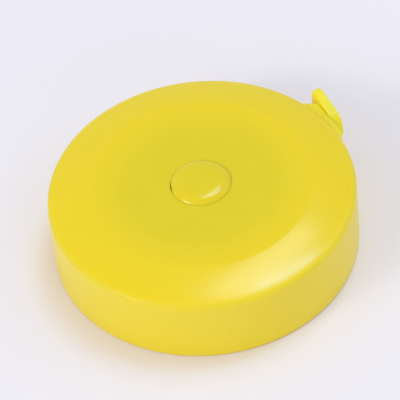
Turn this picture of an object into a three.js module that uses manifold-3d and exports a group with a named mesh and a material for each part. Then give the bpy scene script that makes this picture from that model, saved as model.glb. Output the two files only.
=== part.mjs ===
// A round cloth tape measure: a moulded case, a sprung reel of tape and a push button that frees it.
// Millimetres, +Z up. The origin is the centre of the underside, and the tape leaves along +X.

import * as THREE from 'three';
import { mergeVertices } from 'three/addons/utils/BufferGeometryUtils.js';
import Module from 'manifold-3d';

// Tape and its reel
const TAPE_LENGTH = 1560;      // cloth tape in all: 1.5 m of scale and the end that stays on the hub
const TAPE_W = 6.5;            // width of the tape, which stands upright
const TAPE_T = 0.25;           // thickness of the tape
const HUB_R = 11;              // outside of the reel's hub
const HUB_T = 1.2;             // wall of the hub
const FLANGE_T = 0.7;          // lower flange of the reel
const WEB_T = 0.6;             // web that carries the hub on the post
const RECESS_H = 2.9;          // hollow under the web, for the return spring
const SLEEVE_T = 0.8;          // wall of the bearing sleeve under the web
const SLEEVE_L = 1.2;          // length of the bearing sleeve
const LID_T = 0.7;             // lid of the reel, over the tape and the mainspring
const SPIGOT_H = 0.6;          // ring under the lid that centres it in the hub
const SPIGOT_T = 0.5;          // wall of that ring

// Case
const CASE_R = 25;             // outside of the side wall
const WALL_T = 1.5;            // side wall
const TOP_T = 1.5;             // top wall
const CREASE_R = 18;           // crease where the flat top turns down into the crown
const CROWN_DROP = 1.5;        // fall of the crown from the crease to the rim
const CROWN_BULGE = 0.3;       // how far the crown swells above a straight slope
const RIM_INSET = 0.8;         // the rim's round, inwards
const RIM_DROP = 0.9;          // the rim's round, downwards
const FOOT_EDGE = 0.4;         // bevel round the foot
const HOLE_EDGE = 0.2;         // bevel round the button's hole
const COVER_T = 1.2;           // rear cover, set into the foot of the shell
const SKIRT_T = 0.8;           // skirt that stiffens the cover's edge
const SKIRT_H = 1.0;           // height of the skirt above the cover
const SEAT_RING_T = 0.8;       // ring on the cover round the return spring
const SEAT_RING_H = 0.6;       // height of that ring

// Brake, button and post
const TRAVEL = 1.0;            // stroke of the button, which pushes the reel off the brake
const BRAKE_T = 0.7;           // friction ring under the top
const BRAKE_W = 4;             // width of the friction ring
const BRAKE_INSET = 1;         // friction ring's edge inside the crease
const BUTTON_R = 4.85;         // button where it stands in its hole
const BUTTON_PROUD = 1.05;     // middle of the button above the flat top
const BUTTON_DOME = 0.45;      // fall of the dome from its middle to the edge's round
const BUTTON_EDGE = 0.8;       // round of the button's edge
const BUTTON_LIP_W = 1.4;      // lip that keeps the button in the case
const BUTTON_ROOF_T = 1.2;     // plastic left over the post
const POST_R = 2;              // post that carries the reel
const POST_FOOT_T = 0.6;       // foot of the post on the cover
const POST_SLIT = 0.8;         // slit that holds the mainspring's inner end

// Springs
const MAINSPRING_TURNS = 9;    // coils of the clock spring inside the hub
const MAINSPRING_T = 0.2;      // thickness of its steel band
const RETURN_TURNS = 3;        // coils of the spring under the reel
const RETURN_WIRE = 0.5;       // its wire

// Mouth and pull tab
const MOUTH_Y = 4.4;           // middle of the slot, beside the case's centre line
const SLOT_W = 1.3;            // width of the slot
const SLOT_END = 0.4;          // slot above and below the tape
const GUIDE_R = 1.35;          // rounded lip that the tape bends over
const GUIDE_INSET = 1;         // middle of that lip inside the wall's face
const BOSS_PROUD = 0.9;        // face of the mouth in front of the side wall
const BOSS_W = 8.9;            // width of the mouth's face
const BOSS_SHIFT = -1.55;      // middle of that face beside the slot
const BOSS_SLOPE = 0.6;        // flare of the boss's sides towards the wall
const BOSS_ROUND = 1.2;        // round of its corners
const BOSS_RIM = 0.7;          // boss above and below the slot
const BOSS_EDGE = 0.35;        // round of its edges
const TAB_T = 1.5;             // plate of the pull tab
const TAB_L = 8.4;             // plate along the mouth
const TAB_H_FREE = 11.2;       // plate's height at the finger end
const TAB_H_NEAR = 8.8;        // plate's height at the other end
const TAB_SHIFT = 1.7;         // plate's middle beside the slot
const TAB_CORNER_FREE = 2.2;   // round of the corners at the finger end
const TAB_CORNER_NEAR = 3.6;   // round of the corners at the other end
const TAB_EDGE = 0.4;          // round of the plate's edges
const CRIMP_SHEET = 0.3;       // sheet metal folded over the tape's end
const CRIMP_L = 0.9;           // length of the crimp along the tape

// Clearances
const RUN = 0.3;               // between pieces that move past each other, or that a piece is cut for
const SEAT = 0.1;              // between pieces that are fixed face to face
const TAPE_GAP = 0.25;         // tape to the flange and to the lid
const HUB_GAP = 0.45;          // first turn of tape to the hub
const FLANGE_ROOM = 0.4;       // flange past the full roll

// Facets and tolerances
const CASE_SEGMENTS = 84;
const INNER_SEGMENTS = 48;
const CURVE_STEPS = 4;
const TURN_STEPS = 24;
const WIRE_SIDES = 6;
const WIRE_STEPS = 16;
const ARC_STEPS = 8;
const WELD = 1e-4;
const OVER = 1;                // how far a cutter reaches past what it cuts

// Levels, from the table up
const FLANGE_Z = COVER_T + RUN + TRAVEL;
const TAPE_Z = FLANGE_Z + FLANGE_T + TAPE_GAP;
const TAPE_TOP = TAPE_Z + TAPE_W;
const LID_Z = TAPE_TOP + TAPE_GAP;
const LID_TOP = LID_Z + LID_T;
const BRAKE_Z = LID_TOP + RUN;
const TOP_IN_Z = BRAKE_Z + BRAKE_T + SEAT;
const CASE_H = TOP_IN_Z + TOP_T;
const SHOULDER_Z = CASE_H - CROWN_DROP;
const WALL_TOP = SHOULDER_Z - RIM_DROP;
const CROWN_IN_Z = SHOULDER_Z - TOP_T;
const WEB_Z = FLANGE_Z + RECESS_H;
const HUB_TOP = LID_Z - RUN;
const BUTTON_Z = LID_TOP + RUN;
const BUTTON_TOP = CASE_H + BUTTON_PROUD;
const BUTTON_ROOF_Z = BUTTON_TOP - BUTTON_ROOF_T;
const POST_TOP = BUTTON_ROOF_Z - TRAVEL - RUN;

// Radii
const INNER_R = CASE_R - WALL_T;
const SHOULDER_R = CASE_R - RIM_INSET;
const COVER_R = INNER_R - RUN;
const ROLL_IN = HUB_R + HUB_GAP;
const FLANGE_R = COVER_R - SKIRT_T - RUN;
const ROLL_OUT = FLANGE_R - FLANGE_ROOM;
const CHAMBER_R = HUB_R - HUB_T;
const BORE_R = POST_R + RUN;
const SLEEVE_R = BORE_R + SLEEVE_T;
const RETURN_R = SLEEVE_R + RUN + RETURN_WIRE / 2;
const CROWN_IN_SLOPE = (TOP_IN_Z - CROWN_IN_Z) / (INNER_R - CREASE_R);
const LID_R = Math.min(FLANGE_R, CREASE_R + (TOP_IN_Z - LID_TOP - RUN) / CROWN_IN_SLOPE);

// Plan of the mouth: the tape leaves the roll on a tangent and bends over the guide to run along +X
const BOSS_X = CASE_R + BOSS_PROUD;
const GUIDE_X = CASE_R - GUIDE_INSET;
const BEND_R = GUIDE_R + SLOT_W / 2;
const GUIDE_Y = MOUTH_Y + BEND_R;
const GUIDE_REACH = Math.hypot(GUIDE_X, GUIDE_Y);
const LEAVE_ANGLE = Math.atan2(GUIDE_Y, GUIDE_X) + Math.acos((ROLL_OUT + BEND_R) / GUIDE_REACH);
const TAB_X = BOSS_X + RUN;
const TAB_OUT = TAB_X + TAB_T;
const TAPE_MID = TAPE_Z + TAPE_W / 2;
const SLIT_W = TAPE_T + 2 * RUN;
const CRIMP_W = SLIT_W + 2 * CRIMP_SHEET;
const CRIMP_H = TAPE_W + 2 * RUN;
const CRIMP_X = TAB_OUT - CRIMP_L;

const wasm = await Module();
wasm.setup();

/** A solid from any closed geometry, welded, without flat triangles and with its faces outwards. */
function solid(geometry) {
  geometry.deleteAttribute('normal');
  geometry.deleteAttribute('uv');
  const welded = mergeVertices(geometry, WELD);
  const positions = welded.getAttribute('position').array;
  const corners = [];
  let volume = 0;
  for (let i = 0; i < welded.index.count; i += 3) {
    const [a, b, c] = welded.index.array.slice(i, i + 3);
    if (a === b || b === c || c === a) continue;
    corners.push([a, b, c]);
    const [p, q, r] = [a, b, c].map((n) => new THREE.Vector3().fromArray(positions, 3 * n));
    volume += p.dot(q.cross(r));
  }
  const triangles = volume > 0 ? corners : corners.map(([a, b, c]) => [a, c, b]);
  return new wasm.Manifold(new wasm.Mesh({
    numProp: 3,
    vertProperties: new Float32Array(positions),
    triVerts: new Uint32Array(triangles.flat()),
  }));
}

/** A profile of radius and height, turned round the Z axis. */
function revolve(profile, segments) {
  const points = profile.map((point) => (Array.isArray(point) ? new THREE.Vector2(...point) : point));
  return solid(new THREE.LatheGeometry(points, segments).rotateX(Math.PI / 2));
}

/** A flat ring or tube round the Z axis. */
function ring(inside, outside, low, high) {
  const corners = [[inside, low], [outside, low], [outside, high], [inside, high], [inside, low]];
  return revolve(corners, INNER_SEGMENTS);
}

/** A block between two opposite corners. */
function block(low, high) {
  const size = high.map((value, axis) => value - low[axis]);
  const middle = high.map((value, axis) => (value + low[axis]) / 2);
  return solid(new THREE.BoxGeometry(...size).translate(...middle));
}

/** A plan outline raised from one level to another, with its top and bottom edges rounded. */
function raise(shape, low, high, edge = 0) {
  const options = {
    depth: high - low - 2 * edge,
    bevelEnabled: edge > 0,
    bevelThickness: edge,
    bevelSize: edge,
    bevelOffset: -edge,
    bevelSegments: 2,
    curveSegments: CURVE_STEPS,
  };
  return new THREE.ExtrudeGeometry(shape, options).translate(0, 0, low + edge);
}

/** Turns a raised outline so that its x, y and height lie along Y, Z and X. */
function faceForward(geometry) {
  const across = new THREE.Vector3(0, 1, 0);
  const up = new THREE.Vector3(0, 0, 1);
  const forward = new THREE.Vector3(1, 0, 0);
  return geometry.applyMatrix4(new THREE.Matrix4().makeBasis(across, up, forward));
}

/** An outline with straight sides whose corners, each a place and a round, are curves. */
function roundedOutline(corners) {
  const points = corners.map(([x, y]) => new THREE.Vector2(x, y));
  const shape = new THREE.Shape();
  points.forEach((corner, i) => {
    const round = corners[i][2];
    const before = points[(i + points.length - 1) % points.length];
    const after = points[(i + 1) % points.length];
    const start = corner.clone().add(before.clone().sub(corner).setLength(round));
    const end = corner.clone().add(after.clone().sub(corner).setLength(round));
    if (i === 0) shape.moveTo(start.x, start.y);
    else shape.lineTo(start.x, start.y);
    shape.quadraticCurveTo(corner.x, corner.y, end.x, end.y);
  });
  shape.closePath();
  return shape;
}

/** A band that stands on edge along a line of plan points, mitred at each point. */
function band(line, thickness, low, high) {
  const along = (from, to) => line[to].clone().sub(line[from]).normalize();
  const positions = [];
  line.forEach((point, i) => {
    const arrive = along(Math.max(i - 1, 0), Math.max(i, 1));
    const leave = along(Math.min(i, line.length - 2), Math.min(i + 1, line.length - 1));
    const heading = arrive.clone().add(leave).normalize();
    const half = thickness / 2 / heading.dot(arrive);
    const side = new THREE.Vector2(-heading.y, heading.x).multiplyScalar(half);
    const left = point.clone().add(side);
    const right = point.clone().sub(side);
    positions.push(left.x, left.y, low, right.x, right.y, low);
    positions.push(right.x, right.y, high, left.x, left.y, high);
  });
  const faces = [];
  const quad = (a, b, c, d) => faces.push(a, b, c, a, c, d);
  for (let i = 0; i < line.length - 1; i += 1) {
    for (let k = 0; k < 4; k += 1) {
      const next = (k + 1) % 4;
      quad(4 * i + k, 4 * i + next, 4 * i + 4 + next, 4 * i + 4 + k);
    }
  }
  const last = 4 * (line.length - 1);
  quad(3, 2, 1, 0);
  quad(last, last + 1, last + 2, last + 3);
  const geometry = new THREE.BufferGeometry();
  geometry.setAttribute('position', new THREE.Float32BufferAttribute(positions, 3));
  geometry.setIndex(faces);
  return solid(geometry);
}

/** Plan points of a spiral that runs clockwise and outwards, ending at a given angle. */
function spiral(inside, outside, turns, endAngle) {
  const steps = Math.round(turns * TURN_STEPS);
  return Array.from({ length: steps + 1 }, (_, i) => {
    const radius = inside + (outside - inside) * (i / steps);
    const angle = endAngle + 2 * Math.PI * (steps - i) / TURN_STEPS;
    return new THREE.Vector2(radius * Math.cos(angle), radius * Math.sin(angle));
  });
}

/** Length of a line of points. */
function lengthOf(line) {
  return line.slice(1).reduce((sum, point, i) => sum + point.distanceTo(line[i]), 0);
}

/** Least gap between a wound line and the turns beside it, less its thickness. */
function leastGap(line, thickness) {
  let least = Infinity;
  line.forEach((point, i) => {
    for (let j = i + TURN_STEPS / 2; j < line.length - 1; j += 1) {
      const run = line[j + 1].clone().sub(line[j]);
      const share = THREE.MathUtils.clamp(point.clone().sub(line[j]).dot(run) / run.lengthSq(), 0, 1);
      least = Math.min(least, point.distanceTo(run.multiplyScalar(share).add(line[j])));
    }
  });
  return least - thickness;
}

/** Upper shell: a cup with a crowned top, a hole for the button and the mouth for the tape. */
function upperShell() {
  const crownR = (CREASE_R + SHOULDER_R) / 2;
  const crownZ = (CASE_H + SHOULDER_Z) / 2 + CROWN_BULGE;
  const fall = (SHOULDER_Z - crownZ) / (SHOULDER_R - crownR);
  const holeR = BUTTON_R + RUN;
  const profile = new THREE.Path();
  profile.moveTo(holeR, TOP_IN_Z);
  profile.lineTo(holeR, CASE_H - HOLE_EDGE);
  profile.lineTo(holeR + HOLE_EDGE, CASE_H);
  profile.lineTo(CREASE_R, CASE_H);
  profile.quadraticCurveTo(crownR, crownZ, SHOULDER_R, SHOULDER_Z);
  profile.quadraticCurveTo(CASE_R, SHOULDER_Z + fall * RIM_INSET, CASE_R, WALL_TOP);
  profile.lineTo(CASE_R, FOOT_EDGE);
  profile.lineTo(CASE_R - FOOT_EDGE, 0);
  profile.lineTo(INNER_R, 0);
  profile.lineTo(INNER_R, CROWN_IN_Z);
  profile.lineTo(CREASE_R, TOP_IN_Z);
  profile.closePath();
  const cup = revolve(profile.getPoints(CURVE_STEPS), CASE_SEGMENTS);
  return cup.add(mouthBoss()).subtract(mouthSlot());
}

/** Boss round the mouth: a flat face in front of the wall, its inside trimmed to the cup. */
function mouthBoss() {
  const near = MOUTH_Y + BOSS_SHIFT - BOSS_W / 2;
  const far = near + BOSS_W;
  const back = INNER_R - WALL_T;
  const flare = BOSS_SLOPE * (BOSS_X - back);
  const plan = roundedOutline([
    [back, near - flare, BOSS_ROUND],
    [BOSS_X, near, BOSS_ROUND],
    [BOSS_X, far, BOSS_ROUND],
    [back, far + flare, BOSS_ROUND],
  ]);
  const low = TAPE_Z - SLOT_END - BOSS_RIM;
  const high = TAPE_TOP + SLOT_END + BOSS_RIM;
  const hollow = revolve([[0, -OVER], [INNER_R, -OVER], [INNER_R, CASE_H], [0, CASE_H]], CASE_SEGMENTS);
  return solid(raise(plan, low, high, BOSS_EDGE)).subtract(hollow);
}

/** Slot through the mouth, opening inwards round the guide that the tape bends over. */
function mouthSlot() {
  const inside = INNER_R - 2 * WALL_T;
  const plan = new THREE.Shape();
  plan.moveTo(inside, MOUTH_Y - SLOT_W / 2);
  plan.lineTo(BOSS_X + OVER, MOUTH_Y - SLOT_W / 2);
  plan.lineTo(BOSS_X + OVER, MOUTH_Y + SLOT_W / 2);
  plan.lineTo(GUIDE_X, MOUTH_Y + SLOT_W / 2);
  plan.absarc(GUIDE_X, GUIDE_Y, GUIDE_R, -Math.PI / 2, -Math.PI, true);
  plan.lineTo(inside, GUIDE_Y);
  plan.closePath();
  return solid(raise(plan, TAPE_Z - SLOT_END, TAPE_TOP + SLOT_END));
}

/** Rear cover: a disc set into the foot of the shell, with a skirt and a seat for the return spring. */
function rearCover() {
  const seatIn = RETURN_R + RETURN_WIRE / 2 + RUN;
  const seatOut = seatIn + SEAT_RING_T;
  return revolve([
    [0, 0],
    [COVER_R - FOOT_EDGE, 0],
    [COVER_R, FOOT_EDGE],
    [COVER_R, COVER_T + SKIRT_H],
    [COVER_R - SKIRT_T, COVER_T + SKIRT_H],
    [COVER_R - SKIRT_T, COVER_T],
    [seatOut, COVER_T],
    [seatOut, COVER_T + SEAT_RING_H],
    [seatIn, COVER_T + SEAT_RING_H],
    [seatIn, COVER_T],
    [0, COVER_T],
  ], CASE_SEGMENTS);
}

/** Post on the cover that carries the reel, slit to hold the mainspring. */
function centrePost() {
  const foot = COVER_T + SEAT;
  const turned = revolve([
    [0, foot],
    [SLEEVE_R, foot],
    [SLEEVE_R, foot + POST_FOOT_T],
    [POST_R, foot + POST_FOOT_T],
    [POST_R, POST_TOP - HOLE_EDGE],
    [POST_R - HOLE_EDGE, POST_TOP],
    [0, POST_TOP],
  ], INNER_SEGMENTS);
  const slit = block([0, -POST_SLIT / 2, WEB_Z], [POST_R + OVER, POST_SLIT / 2, POST_TOP + OVER]);
  return turned.subtract(slit);
}

/** Friction ring under the top, which the reel's lid is pressed against. */
function brakeRing() {
  const outside = CREASE_R - BRAKE_INSET;
  return ring(outside - BRAKE_W, outside, BRAKE_Z, BRAKE_Z + BRAKE_T);
}

/** Push button: a domed cap over the post, with a lip that stays under the top. */
function pushButton() {
  const lipTop = TOP_IN_Z - RUN;
  const bore = BORE_R + RUN;
  const domeR = BUTTON_R - BUTTON_EDGE;
  const domeZ = BUTTON_TOP - BUTTON_DOME;
  const fall = BUTTON_DOME / (domeR / 2);
  const edgeZ = domeZ - fall * BUTTON_EDGE;
  const profile = new THREE.Path();
  profile.moveTo(0, BUTTON_ROOF_Z);
  profile.lineTo(bore, BUTTON_ROOF_Z);
  profile.lineTo(bore, BUTTON_Z);
  profile.lineTo(BUTTON_R + BUTTON_LIP_W, BUTTON_Z);
  profile.lineTo(BUTTON_R + BUTTON_LIP_W, lipTop);
  profile.lineTo(BUTTON_R, lipTop);
  profile.lineTo(BUTTON_R, edgeZ - BUTTON_EDGE);
  profile.quadraticCurveTo(BUTTON_R, edgeZ, domeR, domeZ);
  profile.quadraticCurveTo(domeR / 2, BUTTON_TOP, 0, BUTTON_TOP);
  return revolve(profile.getPoints(CURVE_STEPS), INNER_SEGMENTS);
}

/** Return spring: a coil round the post's foot that lifts the reel and the button. */
function returnSpring() {
  const low = COVER_T + RUN + RETURN_WIRE / 2;
  const high = WEB_Z - RUN - RETURN_WIRE / 2;
  class Helix extends THREE.Curve {
    getPoint(share, target = new THREE.Vector3()) {
      const angle = 2 * Math.PI * RETURN_TURNS * share;
      return target.set(RETURN_R * Math.cos(angle), RETURN_R * Math.sin(angle), low + (high - low) * share);
    }
  }
  const section = new THREE.Shape().absarc(0, 0, RETURN_WIRE / 2, 0, 2 * Math.PI);
  const wire = new THREE.Shape(section.getSpacedPoints(WIRE_SIDES).slice(0, WIRE_SIDES));
  const steps = Math.ceil(RETURN_TURNS * WIRE_STEPS);
  const gap = (high - low) / RETURN_TURNS - RETURN_WIRE;
  console.log(`return spring: least gap ${gap.toFixed(2)} mm`);
  return solid(new THREE.ExtrudeGeometry(wire, { steps, extrudePath: new Helix(), bevelEnabled: false }));
}

/** Reel drum: the hub with its web and bearing sleeve, and the flange under the tape. */
function reelDrum() {
  return revolve([
    [CHAMBER_R, FLANGE_Z],
    [FLANGE_R, FLANGE_Z],
    [FLANGE_R, FLANGE_Z + FLANGE_T],
    [HUB_R, FLANGE_Z + FLANGE_T],
    [HUB_R, HUB_TOP],
    [CHAMBER_R, HUB_TOP],
    [CHAMBER_R, WEB_Z + WEB_T],
    [BORE_R, WEB_Z + WEB_T],
    [BORE_R, WEB_Z - SLEEVE_L],
    [SLEEVE_R, WEB_Z - SLEEVE_L],
    [SLEEVE_R, WEB_Z],
    [CHAMBER_R, WEB_Z],
    [CHAMBER_R, FLANGE_Z],
  ], INNER_SEGMENTS);
}

/** Reel lid: a disc over the tape and the mainspring, centred in the hub by a spigot. */
function reelLid() {
  const spigotR = CHAMBER_R - RUN;
  return revolve([
    [BORE_R, LID_Z],
    [spigotR - SPIGOT_T, LID_Z],
    [spigotR - SPIGOT_T, LID_Z - SPIGOT_H],
    [spigotR, LID_Z - SPIGOT_H],
    [spigotR, LID_Z],
    [LID_R, LID_Z],
    [LID_R, LID_TOP],
    [BORE_R, LID_TOP],
    [BORE_R, LID_Z],
  ], INNER_SEGMENTS);
}

/** Mainspring: a steel band wound from the slit in the post out to the hub. */
function mainspring() {
  const inside = POST_R + RUN + MAINSPRING_T / 2;
  const outside = CHAMBER_R - RUN - MAINSPRING_T / 2;
  const tongue = [new THREE.Vector2(POST_R / 2, 0)];
  const coil = spiral(inside, outside, MAINSPRING_TURNS, 0);
  console.log(`mainspring: least gap ${leastGap(coil, MAINSPRING_T).toFixed(2)} mm`);
  const low = WEB_Z + WEB_T + RUN;
  return band([...tongue, ...coil], MAINSPRING_T, low, LID_Z - SPIGOT_H - RUN);
}

/** Plan line of the tape from the roll, over the guide and through the mouth into its crimp. */
function leadLine() {
  const outwards = new THREE.Vector2(Math.cos(LEAVE_ANGLE), Math.sin(LEAVE_ANGLE));
  const heading = new THREE.Vector2(outwards.y, -outwards.x);
  const start = outwards.clone().multiplyScalar(ROLL_OUT).addScaledVector(heading, RUN);
  const bend = Array.from({ length: ARC_STEPS + 1 }, (_, i) => {
    const angle = LEAVE_ANGLE + Math.PI + (Math.PI / 2 - LEAVE_ANGLE) * (i / ARC_STEPS);
    return new THREE.Vector2(GUIDE_X + BEND_R * Math.cos(angle), GUIDE_Y + BEND_R * Math.sin(angle));
  });
  const end = new THREE.Vector2(TAB_OUT - CRIMP_SHEET - RUN, MOUTH_Y);
  return [start, ...bend, end];
}

/** Wound tape: a spiral whose turns fill the room between the hub and the rim of the flange. */
function tapeRoll() {
  const wound = TAPE_LENGTH - lengthOf(leadLine());
  const turns = wound / (Math.PI * (ROLL_IN + ROLL_OUT));
  const line = spiral(ROLL_IN, ROLL_OUT, turns, LEAVE_ANGLE);
  const length = lengthOf(line) + lengthOf(leadLine());
  console.log(`tape: ${turns.toFixed(2)} turns, ${length.toFixed(0)} mm in all`);
  console.log(`tape: least gap ${leastGap(line, TAPE_T).toFixed(2)} mm`);
  return band(line, TAPE_T, TAPE_Z, TAPE_TOP);
}

/** Tape from the roll to the pull tab. */
function tapeLead() {
  return band(leadLine(), TAPE_T, TAPE_Z, TAPE_TOP);
}

/** Pull tab: a flared finger plate in front of the mouth, with a seat for the crimp on the tape. */
function pullTab() {
  const near = MOUTH_Y + TAB_SHIFT - TAB_L / 2;
  const far = near + TAB_L;
  const plate = roundedOutline([
    [near, TAPE_MID - TAB_H_NEAR / 2, TAB_CORNER_NEAR],
    [far, TAPE_MID - TAB_H_FREE / 2, TAB_CORNER_FREE],
    [far, TAPE_MID + TAB_H_FREE / 2, TAB_CORNER_FREE],
    [near, TAPE_MID + TAB_H_NEAR / 2, TAB_CORNER_NEAR],
  ]);
  const slitHalf = TAPE_W / 2 + RUN;
  const slit = block(
    [TAB_X - OVER, MOUTH_Y - SLIT_W / 2, TAPE_MID - slitHalf],
    [TAB_OUT + OVER, MOUTH_Y + SLIT_W / 2, TAPE_MID + slitHalf],
  );
  const seat = block(
    [CRIMP_X - RUN, MOUTH_Y - CRIMP_W / 2 - RUN, TAPE_MID - CRIMP_H / 2 - RUN],
    [TAB_OUT + OVER, MOUTH_Y + CRIMP_W / 2 + RUN, TAPE_MID + CRIMP_H / 2 + RUN],
  );
  return solid(faceForward(raise(plate, TAB_X, TAB_OUT, TAB_EDGE))).subtract(slit).subtract(seat);
}

/** Crimp: sheet metal folded over the end of the tape, seated in the tab. */
function endCrimp() {
  const half = CRIMP_H / 2;
  const folded = block(
    [CRIMP_X, MOUTH_Y - CRIMP_W / 2, TAPE_MID - half],
    [TAB_OUT, MOUTH_Y + CRIMP_W / 2, TAPE_MID + half],
  );
  const gap = block(
    [CRIMP_X - OVER, MOUTH_Y - SLIT_W / 2, TAPE_MID - half - OVER],
    [TAB_OUT - CRIMP_SHEET, MOUTH_Y + SLIT_W / 2, TAPE_MID + half + OVER],
  );
  return folded.subtract(gap);
}

const yellowPlastic = { color: 0xe3ca2c, roughness: 0.38, metalness: 0 };
const whiteCloth = { color: 0xf1ecdc, roughness: 0.8, metalness: 0 };
const greyPlastic = { color: 0x8d8c86, roughness: 0.5, metalness: 0 };
const springSteel = { color: 0x9a9ca0, roughness: 0.3, metalness: 1 };
const blackRubber = { color: 0x2a2a2a, roughness: 0.85, metalness: 0 };

const tapeMeasure = new THREE.Group();

/** Adds one named piece to the tape measure. */
function addPiece(name, shape, finish) {
  const mesh = shape.getMesh();
  const geometry = new THREE.BufferGeometry();
  geometry.setAttribute('position', new THREE.Float32BufferAttribute(mesh.vertProperties, 3));
  geometry.setIndex([...mesh.triVerts]);
  geometry.computeVertexNormals();
  const piece = new THREE.Mesh(geometry, new THREE.MeshStandardMaterial(finish));
  piece.name = name;
  tapeMeasure.add(piece);
}

addPiece('upper_shell', upperShell(), yellowPlastic);
addPiece('rear_cover', rearCover(), yellowPlastic);
addPiece('centre_post', centrePost(), greyPlastic);
addPiece('brake_ring', brakeRing(), blackRubber);
addPiece('push_button', pushButton(), yellowPlastic);
addPiece('return_spring', returnSpring(), springSteel);
addPiece('reel_drum', reelDrum(), greyPlastic);
addPiece('reel_lid', reelLid(), greyPlastic);
addPiece('mainspring', mainspring(), springSteel);
addPiece('tape_roll', tapeRoll(), whiteCloth);
addPiece('tape_lead', tapeLead(), whiteCloth);
addPiece('pull_tab', pullTab(), yellowPlastic);
addPiece('end_crimp', endCrimp(), springSteel);

export default tapeMeasure;
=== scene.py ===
# %% [markdown]
# # A round cloth tape measure in yellow plastic
# The CAD model of this tape measure has the right sizes and moves the right way, but its faces are flat
# facets and its colours are plain. This lesson dresses it: smooth moulded surfaces worked out with numpy, a
# woven tape with a printed scale, springs of round wire and flat band, and procedural finishes for all of
# them. Every length below is in millimetres, as on a workshop drawing, and becomes metres when a mesh is
# made.

# %% Load the frame
import math

import bpy
import numpy as np
from mathutils import Matrix, Vector


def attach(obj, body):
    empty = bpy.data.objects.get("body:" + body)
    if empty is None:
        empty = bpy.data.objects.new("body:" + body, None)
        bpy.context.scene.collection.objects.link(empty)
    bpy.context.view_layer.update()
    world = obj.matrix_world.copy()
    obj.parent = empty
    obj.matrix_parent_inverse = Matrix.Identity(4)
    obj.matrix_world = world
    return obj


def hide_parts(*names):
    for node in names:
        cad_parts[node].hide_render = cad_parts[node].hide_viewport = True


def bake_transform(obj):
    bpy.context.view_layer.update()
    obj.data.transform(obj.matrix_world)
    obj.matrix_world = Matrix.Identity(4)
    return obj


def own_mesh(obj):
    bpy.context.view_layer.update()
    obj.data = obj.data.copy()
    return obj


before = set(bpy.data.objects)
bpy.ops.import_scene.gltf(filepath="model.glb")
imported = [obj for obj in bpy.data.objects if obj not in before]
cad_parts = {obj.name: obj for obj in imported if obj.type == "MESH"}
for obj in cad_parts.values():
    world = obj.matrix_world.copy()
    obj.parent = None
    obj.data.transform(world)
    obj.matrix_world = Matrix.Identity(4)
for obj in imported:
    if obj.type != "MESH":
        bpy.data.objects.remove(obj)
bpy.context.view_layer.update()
print("CAD nodes:", ", ".join(sorted(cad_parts)))

# %% [markdown]
# ## The camera
# The picture was taken from above, about 48 degrees up, with a long lens: the near and far rims of the case
# are almost equally wide. The view was found by fitting ellipses to the rims, the foot and the button.
# A camera could be aimed by eye, but three turns, a distance and one pixel hold the whole fit: the turn
# round the case, the height, a slight roll, and the pixel where the middle of the underside falls.
# No lens shift is used. The axis points through the middle of the picture instead.

# %% Camera
VIEW_AZIMUTH = math.radians(-24.0)
VIEW_HEIGHT = math.radians(48.2)
VIEW_ROLL = math.radians(-6.35)
VIEW_DISTANCE = 0.5
PICTURE_PIXELS = 400
FOCAL_PIXELS = 3050.0
ORIGIN_PIXEL = (206.9, 238.6)
SENSOR = 36.0


def from_photo(direction):
    """A direction as the picture sees it (right, away, up), turned round the vertical into the CAD frame."""
    return Matrix.Rotation(VIEW_AZIMUTH, 3, "Z") @ Vector(direction)


ahead = from_photo((0, math.cos(VIEW_HEIGHT), -math.sin(VIEW_HEIGHT)))
level = from_photo((1, 0, 0))
above = level.cross(ahead)
right = level * math.cos(VIEW_ROLL) + above * math.sin(VIEW_ROLL)
upright = above * math.cos(VIEW_ROLL) - level * math.sin(VIEW_ROLL)
offset_x, offset_y = ((PICTURE_PIXELS / 2 - pixel) / FOCAL_PIXELS for pixel in ORIGIN_PIXEL)
axis = (ahead + right * offset_x - upright * offset_y).normalized()
side = (right - axis * right.dot(axis)).normalized()

camera = bpy.data.objects.new("camera", bpy.data.cameras.new("camera"))
camera.data.sensor_width = SENSOR
camera.data.lens = FOCAL_PIXELS * SENSOR / PICTURE_PIXELS
camera.data.clip_start = 0.01
pose = Matrix((side, side.cross(axis), -axis)).transposed()
camera.matrix_world = Matrix.Translation(-ahead * VIEW_DISTANCE) @ pose.to_4x4()
bpy.context.scene.collection.objects.link(camera)
bpy.context.scene.camera = camera
print("camera: lens", round(camera.data.lens, 1), "mm, standing at", [round(v, 3) for v in camera.location])

# %% [markdown]
# ## Surfaces from grids
# A moulded, turned or wound piece is a sheet of points with rows and columns, closed on itself. It could be
# drawn with extrusions and spins, but a grid from a formula keeps every row where the formula puts it, so
# edges stay crisp and round faces stay smooth.
# A few helpers do the work. They join the points of a grid with quads, draw a curve, round the corners of a
# profile, weld points that lie at the same place, which closes seams and poles, and put the result into a
# mesh. The last one gives a piece its finish and says which CAD nodes it stands for.

# %% Grid helpers
MM = 0.001
CUBIC_CM = 1000.0
WELD, WELD_SHIFT = 0.001, 0.3127
SHARP_ANGLE = math.radians(38)


def grid_faces(rows, columns, wrap_rows=False, wrap_columns=False):
    """Quads between each point of a grid, its neighbour along the row, and the two points of the next row."""
    index = np.arange(rows * columns).reshape(rows, columns)
    if wrap_rows:
        index = np.vstack([index, index[:1]])
    if wrap_columns:
        index = np.hstack([index, index[:, :1]])
    corners = [index[:-1, :-1], index[:-1, 1:], index[1:, 1:], index[1:, :-1]]
    return np.stack(corners, axis=-1).reshape(-1, 4)


def bezier(start, control, end, steps):
    """Points of a quadratic curve: shares (1-t)^2, 2t(1-t) and t^2 of its start, control and end."""
    t = np.linspace(0, 1, steps)[:, None]
    return (1 - t) ** 2 * np.array(start) + 2 * t * (1 - t) * np.array(control) + t ** 2 * np.array(end)


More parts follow.
